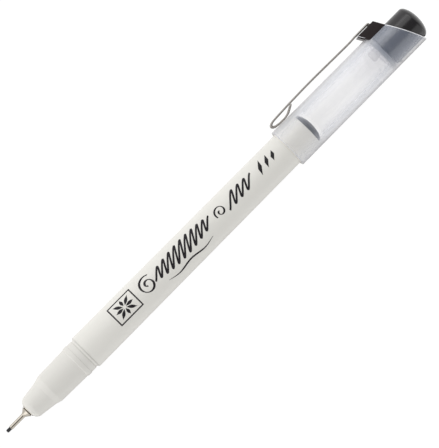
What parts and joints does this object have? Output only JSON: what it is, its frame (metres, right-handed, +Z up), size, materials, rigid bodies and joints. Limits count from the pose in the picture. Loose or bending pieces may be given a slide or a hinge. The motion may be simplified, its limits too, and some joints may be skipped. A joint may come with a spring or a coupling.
{
  "type": "calligraphy marker",
  "caption": "Slim chisel-nib marker with a tapered light barrel, its frosted cap with black plug and steel wire clip posted on the back, lying on its side.",
  "frame": {"origin": "middle of the footprint, on the surface the pen lies on", "axes": "+X along the pen from the nib to the cap, +Y towards the clip's side, +Z up"},
  "size_m": [0.1466, 0.014, 0.0112],
  "materials": {
    "barrel_plastic": "satin moulded, light warm grey",
    "grip_plastic": "satin moulded, light warm grey",
    "sleeve_steel": "drawn stainless tube",
    "nib_black": "ink-soaked, dull",
    "bush_plastic": "moulded",
    "wick_felt": "bonded fibre, ink-soaked",
    "reservoir_fibre": "bonded fibre, ink-soaked",
    "film_plastic": "clear film",
    "tail_plastic": "satin moulded, near black",
    "cap_frosted": "frosted, translucent",
    "plug_black": "polished black",
    "clip_steel": "drawn spring wire"
  },
  "bodies": {
    "pen": {"barrel": "barrel_plastic", "grip_section": "grip_plastic", "nib_sleeve": "sleeve_steel", "nib": "nib_black", "nib_bush": "bush_plastic", "relay_wick": "wick_felt", "ink_reservoir": "reservoir_fibre", "reservoir_film": "film_plastic", "tail_plug": "tail_plastic"},
    "cap": {"cap_tube": "cap_frosted", "cap_plug": "plug_black"},
    "clip": {"wire_clip": "clip_steel"}
  },
  "joints": [
    {"name": "cap_pull", "type": "slide", "parent": "pen", "child": "cap", "axis": [1, 0, 0], "range_m": [0, 0.045]},
    {"name": "clip_lift", "type": "hinge", "parent": "cap", "child": "clip", "pos_m": [0.0631, 0.00501, 0.00303], "axis": [0, -0.3692, -0.9293], "range_deg": [0, 6], "stiffness_Nm_per_rad": 0.1}
  ]
}
